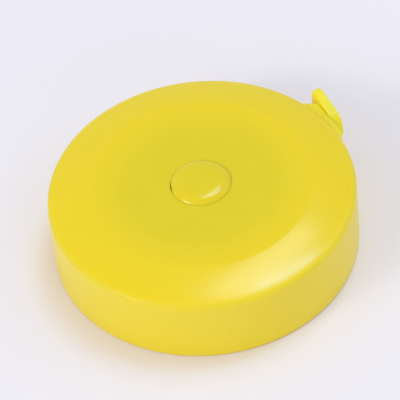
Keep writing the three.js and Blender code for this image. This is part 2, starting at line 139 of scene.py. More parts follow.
def rounded_loop(corners, steps=5, support=1.5):
    """A path of straight sides whose corners (a, b, round) are quadratic curves.

    Each curve starts and ends one round away from its corner, with the corner as its control.
    One more point stands a little before and after each curve, so that the light on the flats stays even.
    A corner with no round keeps its place, as at the ends of an open path.
    """
    places = np.array([corner[:2] for corner in corners], float)
    rounds = np.array([corner[2] for corner in corners], float)[:, None]
    to_last = np.roll(places, 1, axis=0) - places
    to_next = np.roll(places, -1, axis=0) - places
    to_last *= rounds / np.linalg.norm(to_last, axis=1, keepdims=True)
    to_next *= rounds / np.linalg.norm(to_next, axis=1, keepdims=True)
    t = np.linspace(0, 1, steps)[None, :, None]
    curve = places[:, None] + to_last[:, None] * (1 - t) ** 2 + to_next[:, None] * t ** 2
    before = (places + to_last * support)[:, None]
    after = (places + to_next * support)[:, None]
    return np.concatenate([before, curve, after], axis=1).reshape(-1, 2)


def put_piece(name, points, faces, uv=None):
    """Weld points that lie together, drop what nothing uses, turn the faces outwards and make the object.

    Points weld when they fall in the same cell of a fine lattice. The volume is a sixth of the sum of
    a . (b x c) over the triangles, and where it is below 0 the faces point inwards and are turned.
    """
    points = np.asarray(points, float).reshape(-1, 3)
    keys = np.floor(points / WELD + WELD_SHIFT).astype(np.int64)
    _, first, spot = np.unique(keys, axis=0, return_index=True, return_inverse=True)
    welded = spot.reshape(-1)[faces]
    a, b, c, d = (points[first[welded[:, k]]] for k in range(4))
    volume = np.einsum("ij,ij->i", a, np.cross(b, c)).sum() + np.einsum("ij,ij->i", a, np.cross(c, d)).sum()
    if volume < 0:
        faces, welded = faces[:, ::-1], welded[:, ::-1]
    kept = welded != np.roll(welded, 1, axis=1)
    whole = kept.sum(axis=1) > 2
    kept, welded, source = kept[whole], welded[whole], faces[whole]
    used, corner = np.unique(welded[kept], return_inverse=True)
    sizes = kept.sum(axis=1)
    mesh = bpy.data.meshes.new(name)
    mesh.vertices.add(len(used))
    mesh.vertices.foreach_set("co", (points[first[used]] * MM).astype(np.float32).ravel())
    mesh.loops.add(len(corner))
    mesh.loops.foreach_set("vertex_index", corner.astype(np.int32))
    mesh.polygons.add(len(sizes))
    mesh.polygons.foreach_set("loop_start", (np.cumsum(sizes) - sizes).astype(np.int32))
    mesh.polygons.foreach_set("use_smooth", np.ones(len(sizes), bool))
    if uv is not None:
        layer = mesh.uv_layers.new(name="UVMap")
        layer.data.foreach_set("uv", np.asarray(uv, np.float32).reshape(-1, 2)[source[kept]].ravel())
    mesh.update(calc_edges=True)
    mesh.validate()
    mesh.set_sharp_from_angle(angle=SHARP_ANGLE)
    piece = bpy.data.objects.new(name, mesh)
    bpy.context.scene.collection.objects.link(piece)
    triangles = int((sizes - 2).sum())
    print(f"{name}: {len(used)} points, {triangles} triangles, {abs(volume) / 6 / CUBIC_CM:.2f} cm3")
    return piece


def dress(piece, finish, body, slot, *nodes):
    """Give a piece its finish and the body it moves with, and hide the CAD nodes it stands for. The slot is
    not used.
    """
    piece.data.materials.append(finish)
    if body:
        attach(piece, body)
    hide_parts(*nodes)


# %% [markdown]
# ## Finishes: the tools
# Every finish is a Principled shader fed by procedural patterns. Effects that several finishes share are
# node groups: they put out masks and heights, and the shader stays in the material, where the export can
# read it. Small functions keep the node code readable: they place a node and link or set its inputs, or
# place one calculation, one smooth step or one mix of two colours.

# %% Node helpers
MIX_FACTOR, MIX_LOW, MIX_HIGH, MIX_RESULT = 0, 6, 7, 2


def feed(tree, socket, value):
    """Link another node's output to an input, or set the input to a constant."""
    if isinstance(value, bpy.types.NodeSocket):
        tree.links.new(value, socket)
    else:
        socket.default_value = value


def place(tree, kind, inputs=(), **settings):
    """Add a node, apply its settings, and feed each input by name or number."""
    made = tree.nodes.new(kind)
    for key, value in settings.items():
        setattr(made, key, value)
    for key, value in dict(inputs).items():
        feed(tree, made.inputs[key], value)
    return made


def calc(tree, operation, *values):
    """The result of one calculation on sockets and numbers."""
    return place(tree, "ShaderNodeMath", enumerate(values), operation=operation).outputs[0]


def fade(tree, value, low, high, to_low=0.0, to_high=1.0):
    """A smooth step: to_low below low, to_high above high, and an S-shaped rise between them."""
    inputs = {"Value": value, "From Min": low, "From Max": high, "To Min": to_low, "To Max": to_high}
    made = place(tree, "ShaderNodeMapRange", inputs, interpolation_type="SMOOTHSTEP")
    return made.outputs["Result"]


def new_group(name, inputs, outputs):
    """An empty node group with named float or vector inputs, named outputs, and its two end nodes."""
    tree = bpy.data.node_groups.new(name, "ShaderNodeTree")
    for key, kind in inputs.items():
        tree.interface.new_socket(name=key, in_out="INPUT", socket_type=kind)
    for key, kind in outputs.items():
        tree.interface.new_socket(name=key, in_out="OUTPUT", socket_type=kind)
    entry = tree.nodes.new("NodeGroupInput").outputs
    leave = tree.nodes.new("NodeGroupOutput").inputs
    return tree, entry, leave


def new_finish(name, **constants):
    """A material with a Principled shader whose constant sockets are set by name."""
    material = bpy.data.materials.new(name)
    material.use_nodes = True
    shader = material.node_tree.nodes["Principled BSDF"]
    for key, value in constants.items():
        shader.inputs[key.replace("_", " ")].default_value = value
    return material, material.node_tree, shader


def use_group(tree, group, **inputs):
    """Place a node group in a material, with its inputs by name."""
    named = {key.replace("_", " "): value for key, value in inputs.items()}
    return place(tree, "ShaderNodeGroup", named, node_tree=group).outputs


def object_place(tree):
    """Coordinates of the piece itself, in millimetres."""
    raw = tree.nodes.new("ShaderNodeTexCoord").outputs["Object"]
    scaled = place(tree, "ShaderNodeVectorMath", {0: raw, 1: (1 / MM,) * 3}, operation="MULTIPLY")
    return scaled.outputs[0]


def blend_colour(tree, mask, low, high):
    """One colour where the mask is 0, another where it is 1; either may be a socket."""
    inputs = {MIX_FACTOR: mask, MIX_LOW: low, MIX_HIGH: high}
    return place(tree, "ShaderNodeMix", inputs, data_type="RGBA").outputs[MIX_RESULT]


def raise_surface(tree, shader, height, strength, distance):
    """Let a height pattern tilt the light on the surface."""
    inputs = {"Height": height, "Strength": strength, "Distance": distance * MM}
    tree.links.new(place(tree, "ShaderNodeBump", inputs).outputs[0], shader.inputs["Normal"])


# %% [markdown]
# ## Moulded plastic
# The case is injection moulded: hot plastic fills a polished steel mould, so the skin has a soft gloss, a
# very faint unevenness from the flow, and slight changes of gloss. A plain colour would look like a
# drawing. One node group makes the flow clouds and the skin's fine height from two noises. The yellow case,
# the button and the tab use it with little relief, and the grey inner pieces, from a rougher mould, with
# more.

# %% Moulded skin group
CLOUD_LOW, CLOUD_HIGH = 0.2, 0.8
SKIN_DETAIL = {"Cloud": 2.0, "Grain": 3.0}

moulded_skin, entry, leave = new_group(
    "moulded_skin",
    {"Place": "NodeSocketVector", "Cloud Size": "NodeSocketFloat", "Grain Size": "NodeSocketFloat"},
    {"Clouds": "NodeSocketFloat", "Grain": "NodeSocketFloat"},
)
noises = {}
for title, detail in SKIN_DETAIL.items():
    scale = calc(moulded_skin, "DIVIDE", 1.0, entry[title + " Size"])
    inputs = {"Vector": entry["Place"], "Scale": scale, "Detail": detail}
    noises[title] = place(moulded_skin, "ShaderNodeTexNoise", inputs).outputs[0]
clouds = fade(moulded_skin, noises["Cloud"], CLOUD_LOW, CLOUD_HIGH)
moulded_skin.links.new(clouds, leave["Clouds"])
moulded_skin.links.new(noises["Grain"], leave["Grain"])
print("moulded skin:", len(moulded_skin.nodes), "nodes")

# %% [markdown]
# The top of the case isn't one yellow, and the change is painted light in the base colour. The plastic lets
# light through: what enters at the wall and the crown glows back out near the edge, painted here as a
# brighter yellow, while the middle, backed by the reel, is painted deeper and a little greener as shade.
# The change is soft and follows the radius, so the finish reads the distance from the case's own axis.
# Round the rim the yellow is painted a little deeper again, as shade that tames the light the tilted rim
# catches, and on the wall it is paler, a painted sheen of the pale floor. The mouth and the tab, lit from all
# sides, have the brightest yellow as painted glow, and the button, which sits in the middle, the deep one
# as painted shade.
# The rim is what hands and pockets rub, so its gloss is duller than that of the top. The tab is thin and
# much handled, so it is duller still and lets more light through.

# %% Yellow finishes
# Painted shade: the deep yellow of the middle, backed by the reel.
CENTRE_SHADE_YELLOW = (0.815, 0.630, 0.001, 1)
# Painted glow: the bright yellow near the edge, where light comes back out of the plastic.
EDGE_GLOW_YELLOW = (0.915, 0.670, 0.001, 1)
# Painted sheen: the paler yellow of the wall stands for the pale floor reflected in it.
WALL_SHEEN_YELLOW = (0.866, 0.690, 0.020, 1)
# Painted shade: a deeper yellow round the rim tames the light that the tilted rim catches.
RIM_SHADE_YELLOW = (0.845, 0.655, 0.015, 1)
# Painted glow: the brightest yellow on the mouth and the tab stands for light that reaches them through the
# plastic.
MOUTH_GLOW_YELLOW = (0.950, 0.742, 0.014, 1)
PLASTIC_IOR = 1.46
SCATTER = (1.0, 0.95, 0.15)
CASE_GLOW, BUTTON_GLOW = (10.5, 18.5), (3.0, 9.0)
CASE_CLOUD, CASE_GRAIN, CLOUD_SWING = 9.0, 0.55, 0.04
CASE_RELIEF = (0.05, 0.02)
RIM_START, RIM_FULL, RIM_LEAVE, RIM_END = 24.3, 24.7, 24.85, 24.99
WALL_START, WALL_FULL = 24.2, 24.9
MOUTH_START, MOUTH_FULL = 25.0, 25.3
CASE_DEPTH, TAB_DEPTH = (0.3, 1.0), (0.8, 1.6)
CASE_GLOSS, TAB_GLOSS = (0.19, 0.22), (0.30, 0.36)
RUB_START, RUB_FULL, RIM_RUB, WALL_RUB = 23.6, 24.6, 0.22, 0.10


def yellow_plastic(name, glow, depth, gloss):
    """Soft-gloss yellow whose colour goes from deep to bright between two distances from the case's axis.

    It is deeper again round the rim, paler on the wall and brightest outside it, on the mouth and the tab.
    All of this is painted light: the deep middle and rim are painted shade, the bright edge, mouth and tab
    painted glow, the pale wall a painted sheen.
    Depth is the share of the light that enters the plastic, and the millimetres that it spreads there.
    Gloss is the least and the most roughness. Rubbing adds to it past the crown, most of all at the rim.
    """
    material, tree, shader = new_finish(name, IOR=PLASTIC_IOR, Subsurface_Weight=depth[0],
                                        Subsurface_Scale=depth[1] * MM, Subsurface_Radius=SCATTER)
    spot = object_place(tree)
    skin = use_group(tree, moulded_skin, Place=spot, Cloud_Size=CASE_CLOUD, Grain_Size=CASE_GRAIN)
    flat = place(tree, "ShaderNodeVectorMath", {0: spot, 1: (1, 1, 0)}, operation="MULTIPLY").outputs[0]
    radius = place(tree, "ShaderNodeVectorMath", {0: flat}, operation="LENGTH").outputs["Value"]
    # Painted glow: the bright yellow takes over with the distance from the axis; the middle keeps the deep
    # painted shade.
    glow_share = fade(tree, radius, *glow, CLOUD_SWING, 1 - CLOUD_SWING)
    clouded = calc(tree, "ADD", glow_share, fade(tree, skin["Clouds"], 0.0, 1.0, -CLOUD_SWING, CLOUD_SWING))
    top_colour = blend_colour(tree, clouded, CENTRE_SHADE_YELLOW, EDGE_GLOW_YELLOW)
    # Painted sheen: the wall turns paler.
    wall_sheen_colour = blend_colour(tree, fade(tree, radius, WALL_START, WALL_FULL), top_colour, WALL_SHEEN_YELLOW)
    # Painted shade: a deeper yellow round the rim.
    rim_starts = fade(tree, radius, RIM_START, RIM_FULL)
    rim_ends = fade(tree, radius, RIM_LEAVE, RIM_END, 1.0, 0.0)
    rim_shade_share = calc(tree, "MULTIPLY", rim_starts, rim_ends)
    case_colour = blend_colour(tree, rim_shade_share, wall_sheen_colour, RIM_SHADE_YELLOW)
    # Painted glow: the brightest yellow outside the wall, on the mouth and the tab.
    mouth_glow_share = fade(tree, radius, MOUTH_START, MOUTH_FULL)
    tree.links.new(blend_colour(tree, mouth_glow_share, case_colour, MOUTH_GLOW_YELLOW), shader.inputs["Base Color"])
    rub = fade(tree, radius, RIM_LEAVE, RIM_END, RIM_RUB, WALL_RUB)
    rubbed = calc(tree, "MULTIPLY", fade(tree, radius, RUB_START, RUB_FULL), rub)
    dull = calc(tree, "ADD", fade(tree, skin["Clouds"], 0.0, 1.0, *gloss), rubbed)
    tree.links.new(dull, shader.inputs["Roughness"])
    raise_surface(tree, shader, skin["Grain"], *CASE_RELIEF)
    return material


case_yellow = yellow_plastic("case_yellow", CASE_GLOW, CASE_DEPTH, CASE_GLOSS)
button_yellow = yellow_plastic("button_yellow", BUTTON_GLOW, CASE_DEPTH, CASE_GLOSS)
tab_yellow = yellow_plastic("tab_yellow", CASE_GLOW, TAB_DEPTH, TAB_GLOSS)
print("yellow finishes:", case_yellow.name, button_yellow.name, tab_yellow.name)

# %% [markdown]
# ## Inner finishes
# The reel and its post are grey plastic from a plain mould, the brake ring is black rubber with a dusty,
# matt skin, and the springs and the crimp are bright steel with fine drawing lines. They are hidden in the
# closed case, but a part that can be taken apart needs all of them finished.

# %% Grey plastic, rubber and steel
GREYS = (0.25, 0.24, 0.22, 1), (0.30, 0.29, 0.27, 1)
BLACKS = (0.022, 0.022, 0.022, 1), (0.045, 0.044, 0.042, 1)
STEELS = (0.40, 0.41, 0.43, 1), (0.52, 0.53, 0.55, 1)
RUBBER_IOR = 1.5
GRAIN_LOW, GRAIN_HIGH = 0.3, 0.7
DRAWN_STRETCH, DRAWN_SCALE, DRAWN_DETAIL = (1, 1, 14), 1.2, 4.0


def surface_from(tree, shader, hue, colours, grain, dull, relief):
    """A mask blends two colours; a grain sets the roughness between two values and is raised as relief."""
    tree.links.new(blend_colour(tree, hue, *colours), shader.inputs["Base Color"])
    tree.links.new(fade(tree, grain, GRAIN_LOW, GRAIN_HIGH, *dull), shader.inputs["Roughness"])
    raise_surface(tree, shader, grain, *relief)


def inner_moulding(name, ior, cloud, grain, colours, dull, relief):
    """A matt moulded finish on the skin group, with the sizes of its clouds and grain in millimetres."""
    material, tree, shader = new_finish(name, IOR=ior)
    skin = use_group(tree, moulded_skin, Place=object_place(tree), Cloud_Size=cloud, Grain_Size=grain)
    surface_from(tree, shader, skin["Clouds"], colours, skin["Grain"], dull, relief)
    return material


grey_plastic = inner_moulding("grey_plastic", PLASTIC_IOR, cloud=4.0, grain=0.25, colours=GREYS,
                              dull=(0.42, 0.58), relief=(0.25, 0.03))
brake_rubber = inner_moulding("brake_rubber", RUBBER_IOR, cloud=2.0, grain=0.12, colours=BLACKS,
                              dull=(0.72, 0.92), relief=(0.5, 0.05))

spring_steel, tree, shader = new_finish("spring_steel", Metallic=1.0)
stretched = {0: object_place(tree), 1: DRAWN_STRETCH}
lines = place(tree, "ShaderNodeVectorMath", stretched, operation="MULTIPLY").outputs[0]
inputs = {"Vector": lines, "Scale": DRAWN_SCALE, "Detail": DRAWN_DETAIL}
drawn = place(tree, "ShaderNodeTexNoise", inputs).outputs[0]
surface_from(tree, shader, drawn, STEELS, drawn, dull=(0.22, 0.36), relief=(0.15, 0.01))
print("inner finishes:", grey_plastic.name, brake_rubber.name, spring_steel.name)

# %% [markdown]
# ## The printed tape
# The tape is woven cloth under a white coating, printed with a centimetre scale: short ticks each
# millimetre from both edges, longer ones each 5 mm and 10 mm, and plain numerals at the centimetres. The
# marks could be small meshes, but 1500 of them would have to slide with the tape, so they are ink in the
# finish, read from the tape's UV map: u is millimetres from the free end, and v millimetres up the tape,
# with 10 added on its back. The numerals are made of seven bars. For each bar, a whole number holds the
# digits that light it as bits.

# %% Printed scale group
TAPE_W = 6.5
BACK_V = 10.0
CENTIMETRE, DECIMAL, BINARY = 10.0, 10.0, 2.0
TICK_LENGTHS = ((1.0, 1.1), (5.0, 1.7), (10.0, 2.3))
TICK_HALF = 0.07
DIGIT_PITCH, DIGIT_W, DIGIT_H, DIGIT_EDGE = 1.75, 1.15, 2.0, 0.45
STROKE_HALF = 0.13
BARS = {
    "top": ("02356789", 0, 1, True),
    "upper right": ("01234789", 1, 0.5, False),
    "lower right": ("013456789", 1, -0.5, False),
    "bottom": ("0235689", 0, -1, True),
    "lower left": ("0268", -1, -0.5, False),
    "upper left": ("045689", -1, 0.5, False),
    "middle": ("2345689", 0, 0, True),
}

scale_ink, entry, leave = new_group(
    "printed_scale",
    {"Along": "NodeSocketFloat", "Across": "NodeSocketFloat"},
    {"Ink": "NodeSocketFloat", "Ten": "NodeSocketFloat"},
)


def on_scale(operation, *values):
    """One calculation inside the group of the printed scale."""
    return calc(scale_ink, operation, *values)


back = on_scale("GREATER_THAN", entry["Across"], BACK_V - 1)
across = on_scale("SUBTRACT", entry["Across"], on_scale("MULTIPLY", back, BACK_V))
from_middle = on_scale("SUBTRACT", across, TAPE_W / 2)
from_edge = on_scale("SUBTRACT", TAPE_W / 2, on_scale("ABSOLUTE", from_middle))
ink = 0.0
for spacing, length in TICK_LENGTHS:
    offset = on_scale("PINGPONG", entry["Along"], spacing / 2)
    tick = on_scale("LESS_THAN", offset, TICK_HALF)
    reached = on_scale("LESS_THAN", from_edge, length)
    ink = on_scale("MAXIMUM", ink, on_scale("MULTIPLY", tick, reached))

number = on_scale("ROUND", on_scale("DIVIDE", entry["Along"], CENTIMETRE))
past_line = on_scale("SUBTRACT", entry["Along"], on_scale("MULTIPLY", number, CENTIMETRE))
# The back is read from its other end, so the way along it is -1 there.
reading_way = on_scale("SUBTRACT", 1.0, on_scale("MULTIPLY", back, 2.0))
reading = on_scale("MULTIPLY", past_line, reading_way)
before_line = on_scale("SUBTRACT", reading, DIGIT_EDGE)
digit_place = on_scale("FLOOR", on_scale("DIVIDE", before_line, DIGIT_PITCH))
power = on_scale("POWER", DECIMAL, digit_place)
digit = on_scale("MODULO", on_scale("FLOOR", on_scale("DIVIDE", number, power)), DECIMAL)
shown = on_scale("LESS_THAN", power, on_scale("ADD", number, 0.5))
shown = on_scale("MULTIPLY", shown, on_scale("GREATER_THAN", before_line, 0.0))
in_cell = on_scale("SUBTRACT", before_line, on_scale("MULTIPLY", digit_place, DIGIT_PITCH))
from_cell = on_scale("SUBTRACT", DIGIT_W / 2, in_cell)
digit_bit = on_scale("POWER", BINARY, digit)
numerals = 0.0
for digits, column, row, lies in BARS.values():
    half_w = DIGIT_W / 2 - STROKE_HALF if lies else STROKE_HALF
    half_h = STROKE_HALF if lies else DIGIT_H / 4
    centre_x = column * (DIGIT_W / 2 - STROKE_HALF)
    centre_y = row * (DIGIT_H / 2 - STROKE_HALF)
    in_width = on_scale("COMPARE", from_cell, centre_x, half_w)
    in_height = on_scale("COMPARE", from_middle, centre_y, half_h)
    bar = on_scale("MULTIPLY", in_width, in_height)
    bits = float(sum(2 ** int(text) for text in digits))
    lit = on_scale("MODULO", on_scale("FLOOR", on_scale("DIVIDE", bits, digit_bit)), BINARY)
    numerals = on_scale("MAXIMUM", numerals, on_scale("MULTIPLY", bar, lit))
numerals = on_scale("MULTIPLY", numerals, shown)
scale_ink.links.new(on_scale("MAXIMUM", ink, numerals), leave["Ink"])
ten = on_scale("COMPARE", on_scale("MODULO", number, DECIMAL), 0.0, 0.1)
scale_ink.links.new(ten, leave["Ten"])

# %% Tape finish
WEAVE_PITCH = 0.32
CREAMS = (0.80, 0.77, 0.66, 1), (0.88, 0.86, 0.77, 1)
BLACK_INK, RED_INK = (0.02, 0.02, 0.022, 1), (0.42, 0.025, 0.02, 1)
TAPE_DULL, TAPE_RELIEF = (0.62, 0.5), (0.35, 0.03)

tape_cloth, tree, shader = new_finish("tape_cloth", IOR=1.45, Specular_IOR_Level=0.35)
uv_point = place(tree, "ShaderNodeUVMap", uv_map="UVMap").outputs[0]
map_uv = place(tree, "ShaderNodeSeparateXYZ", {0: uv_point}).outputs
marks = use_group(tree, scale_ink, Along=map_uv[0], Across=map_uv[1])
warp = calc(tree, "SINE", calc(tree, "MULTIPLY", map_uv[0], 2 * math.pi / WEAVE_PITCH))
weft = calc(tree, "SINE", calc(tree, "MULTIPLY", map_uv[1], 2 * math.pi / WEAVE_PITCH))
weave = fade(tree, calc(tree, "MULTIPLY", warp, weft), -1.0, 1.0)
cream = blend_colour(tree, weave, *CREAMS)
print_colour = blend_colour(tree, marks["Ten"], BLACK_INK, RED_INK)
tree.links.new(blend_colour(tree, marks["Ink"], cream, print_colour), shader.inputs["Base Color"])
tree.links.new(fade(tree, weave, 0.0, 1.0, *TAPE_DULL), shader.inputs["Roughness"])
raise_surface(tree, shader, weave, *TAPE_RELIEF)
print("tape finish:", len(scale_ink.nodes), "nodes in the printed scale")

# %% [markdown]
# ## The case
# The upper shell is a cup: a flat top with a hole for the button, a crown that slopes down from a faint
# crease to a rounded rim, a straight wall and a foot, all 1.5 mm thick. Seen from any side it is a turned
# form, so its profile is carried round the axis. The mouth breaks that symmetry.
# A boolean could cut the mouth, but its long thin triangles spoil the shading of a glossy wall. Here the
# wall's own points move instead. Columns near the mouth stand at fixed distances across it, the wall is
# lifted to the boss's flat face, and inside the slot it is pushed right through to the inner wall, where
# both are left open and welded.

# %% Case sizes
CASE_R, INNER_R, CASE_H = 25.0, 23.5, 13.5
CREASE_R, SHOULDER_R, SHOULDER_Z, WALL_TOP = 18.0, 24.2, 12.0, 11.1
CROWN_BULGE = 0.3
TOP_IN_Z, CROWN_IN_Z = 12.0, 10.5
HOLE_R, HOLE_EDGE, FOOT_EDGE = 4.955, 0.015, 0.4
BOSS_X, BOSS_NEAR, BOSS_FAR, BOSS_LOW, BOSS_HIGH = 25.9, -0.8, 7.3, 2.35, 11.05
BOSS_SLOPE, BOSS_EDGE, BOSS_BLEND = 0.6, 0.08, 0.7
SLOT_NEAR, SLOT_FAR, SLOT_LOW, SLOT_HIGH, SLOT_EDGE = 3.75, 5.05, 3.05, 10.35, 0.3
GUIDE_X, GUIDE_Y, GUIDE_R = 24.0, 6.4, 1.35
CUP_BLEND = 0.25
EDGE_STEPS, BOSS_STEPS, BELOW_BOSS = (0.04, 0.1, 0.18), (0.01, 0.03, 0.05), 0.3
FOOT_TOP, FOOT_IN_EDGE, CREASE_GAP = 1.0, 0.15, 0.12
MOUTH_Y = 4.4
MOUTH_FROM, MOUTH_TO, MOUTH_STEP, SLOT_STEP = -3.4, 9.8, 0.2, 0.31
PLAIN_COLUMNS, WALL_ROWS, FLAT_ROWS, CROWN_ROWS, RIM_ROWS = 140, 12, 16, 26, 14
HAIR, NOTHING = 0.004, 1e-6


def near_edges(*edges, reach=SLOT_EDGE):
    """Places close to the given edges, on both sides: a hair away, then steps of the edge's round."""
    away = np.array([0.0, HAIR, *EDGE_STEPS, reach, 1.4 * reach])
    return np.concatenate([np.concatenate([edge - away, edge + away]) for edge in edges])


def mouth_columns():
    """Angles of the columns round the case: even steps, and fixed distances across the mouth."""
    across = np.concatenate([np.arange(MOUTH_FROM, MOUTH_TO, MOUTH_STEP), near_edges(SLOT_NEAR, SLOT_FAR)])
    across = np.unique(np.round(across, 4))
    inside = (across > SLOT_NEAR + NOTHING) & (across < SLOT_FAR - NOTHING)
    across = across[~inside | (np.abs(across - MOUTH_Y) < SLOT_STEP)]
    mouth = np.arcsin(across / CASE_R)
    plain = np.linspace(mouth[-1], mouth[0] + 2 * np.pi, PLAIN_COLUMNS)[1:-1]
    return np.concatenate([mouth, plain])


def soft_least(a, b, reach):
    """The lesser of two values, with the corner between them rounded over a reach."""
    overlap = np.maximum(reach - np.abs(a - b), 0) / reach
    return np.minimum(a, b) - overlap ** 2 * reach / 4


def edge_drop(inside, edge):
    """How far a quarter-round edge has fallen, at a distance inside it."""
    left = np.clip(edge - inside, 0, edge)
    return edge - np.sqrt(np.maximum(edge ** 2 - left ** 2, 0))


# %% Case walls at the mouth
def slot_depth(y, z):
    """Distance outside the slot's opening, below 0 inside it."""
    beside = np.maximum(SLOT_NEAR - y, y - SLOT_FAR)
    beyond = np.maximum(SLOT_LOW - z, z - SLOT_HIGH)
    return np.maximum(beside, beyond)


def inner_wall_x(y, z):
    """Inside of the wall near the mouth: the cup, cut back to the rounded guide beside the slot."""
    cup = np.sqrt(INNER_R ** 2 - y ** 2)
    guide = GUIDE_X - np.sqrt(np.maximum(GUIDE_R ** 2 - (np.maximum(y, SLOT_FAR) - GUIDE_Y) ** 2, 0))
    ramp = np.clip((y - SLOT_NEAR) / (SLOT_FAR - SLOT_NEAR), 0, 1)
    cut = cup + ramp * np.maximum(guide - cup, 0)
    high_enough = (z >= SLOT_LOW - NOTHING) & (z <= SLOT_HIGH + NOTHING)
    return np.where(high_enough & (y > SLOT_NEAR - NOTHING) & (y < GUIDE_Y), cut, cup)


def outer_wall_x(y, z):
    """Outside of the wall near the mouth: the cup or the boss, whichever stands further out, less the slot.

    The boss is a flat face with flared sides. Its top and bottom edges are small quarter rounds. The slot's
    edge is a wider one, from which the wall runs straight in.
    """
    cup = np.sqrt(CASE_R ** 2 - y ** 2)
    near_side = BOSS_X + (y - BOSS_NEAR) / BOSS_SLOPE
    far_side = BOSS_X - (y - BOSS_FAR) / BOSS_SLOPE
    plan = soft_least(soft_least(near_side, far_side, BOSS_BLEND), np.full_like(y, BOSS_X), BOSS_BLEND)
    margin = np.minimum(z - BOSS_LOW, BOSS_HIGH - z)
    boss = np.where(margin >= -NOTHING, plan - edge_drop(np.maximum(margin, 0), BOSS_EDGE), cup)
    face = -soft_least(-cup, -boss, CUP_BLEND)
    face = np.where(margin >= -NOTHING, face, cup)
    outside = slot_depth(y, z)
    cut = face - edge_drop(np.maximum(outside, 0), SLOT_EDGE)
    return np.where(outside > NOTHING, cut, inner_wall_x(y, z))


# %% Case shell
crown_control = ((CREASE_R + SHOULDER_R) / 2, (CASE_H + SHOULDER_Z) / 2 + CROWN_BULGE)
fall = (SHOULDER_Z - crown_control[1]) / (SHOULDER_R - crown_control[0])
rim_control = (CASE_R, SHOULDER_Z + fall * (CASE_R - SHOULDER_R))
boss_rows = np.array([-HAIR, 0, *BOSS_STEPS, BOSS_EDGE])
wall_z = np.concatenate([
    np.linspace(FOOT_TOP, WALL_TOP, WALL_ROWS),
    near_edges(SLOT_LOW, SLOT_HIGH),
    [BOSS_LOW - BELOW_BOSS],
    BOSS_LOW + boss_rows,
    BOSS_HIGH - boss_rows,
])
wall_z = np.unique(np.round(wall_z, 4))[::-1]
inner_z = wall_z[wall_z <= SLOT_HIGH + HAIR + NOTHING][::-1]
flat_r = np.linspace(HOLE_R + 1.5, CREASE_R - CREASE_GAP, FLAT_ROWS)
foot = [(CASE_R, FOOT_TOP, 0), (CASE_R, 0, FOOT_EDGE), (INNER_R, 0, FOOT_IN_EDGE), (INNER_R, FOOT_TOP, 0)]
stretches = {
    "hole": rounded_loop([(HOLE_R, TOP_IN_Z, 0), (HOLE_R, CASE_H, HOLE_EDGE), (HOLE_R + 1, CASE_H, 0)]),
    "flat": np.column_stack([flat_r, np.full(FLAT_ROWS, CASE_H)]),
    "crown": bezier((CREASE_R, CASE_H), crown_control, (SHOULDER_R, SHOULDER_Z), CROWN_ROWS),
    "rim": bezier((SHOULDER_R, SHOULDER_Z), rim_control, (CASE_R, WALL_TOP), RIM_ROWS),
    "outer wall": np.column_stack([np.full(len(wall_z), CASE_R), wall_z]),
    "foot": rounded_loop(foot),
    "inner wall": np.column_stack([np.full(len(inner_z), INNER_R), inner_z]),
    "ceiling": np.array([(INNER_R, CROWN_IN_Z), (CREASE_R, TOP_IN_Z), (HOLE_R + 0.3, TOP_IN_Z)]),
}
stretch = np.repeat(list(stretches), [len(rows) for rows in stretches.values()])
rows_r, rows_z = np.vstack(list(stretches.values())).T[:, :, None]
outer, inner = stretch == "outer wall", stretch == "inner wall"

theta = mouth_columns()
across = CASE_R * np.sin(theta)
in_mouth = (np.cos(theta) > 0) & (across > MOUTH_FROM - HAIR) & (across < MOUTH_TO - HAIR)
level_shift = np.arcsin(np.clip(across / INNER_R, -1, 1)) - theta
ends = np.flatnonzero(in_mouth)[[-1, 0]]
plain_shift = np.interp(theta, theta[ends] + [0, 2 * np.pi], level_shift[ends])
shift = np.where(in_mouth, level_shift, plain_shift)
angle = theta + np.where(inner, 1.0, 0.0)[:, None] * shift
shell = np.stack([rows_r * np.cos(angle), rows_r * np.sin(angle), rows_z + 0 * angle], axis=-1)
for rows, wall_x in ((outer, outer_wall_x), (inner, inner_wall_x)):
    spots = np.ix_(rows, in_mouth)
    y, z = np.broadcast_arrays(across[in_mouth], rows_z[rows])
    shell[spots] = np.stack([wall_x(y, z), y, z], axis=-1)

faces = grid_faces(*shell.shape[:2], wrap_rows=True, wrap_columns=True)
middle_y = across[faces % len(theta)].mean(axis=1)
middle_z = rows_z[faces // len(theta), 0].mean(axis=1)
on_wall = (outer | inner)[faces // len(theta)].all(axis=1) & in_mouth[faces % len(theta)].all(axis=1)
window = on_wall & (slot_depth(middle_y, middle_z) < 0)
case_shell = put_piece("case_shell", shell, faces[~window])
dress(case_shell, case_yellow, "case", "case_plastic", "upper_shell")

# %% [markdown]
# ## Turned pieces
# The rear cover snaps into the foot of the case, and the button is a cap with a lip that keeps it under the
# top. Both are turned forms: a closed profile of radius and height, carried round the axis. Their edges are
# rounded by a few tenths of a millimetre, as a mould leaves them, because a dead sharp edge catches no
# light.
# The button's top is almost flat, and its edge is a wide round that leans in, which gathers the light of
# the main lamp into one soft spot. Plastic entered the mould at one side of the button. That gate was
# trimmed off, and the dent it left is the dark crescent at the left edge.

# %% Rear cover and push button
TURN_COLUMNS = 160


def turned(name, profile, cut=lambda r, z, a: 0):
    """A closed profile of radius r and height z carried round the axis.

    The points are (r cos a, r sin a, z), where r may lose a cut that depends on r, z and the angle a.
    """
    a = np.linspace(0, 2 * np.pi, TURN_COLUMNS, endpoint=False)
    r, z = np.asarray(profile, float).T[:, :, None]
    r = r - cut(r, z, a)
    points = np.stack([r * np.cos(a), r * np.sin(a), z + 0 * a], axis=-1)
    return put_piece(name, points, grid_faces(*points.shape[:2], wrap_rows=True, wrap_columns=True))


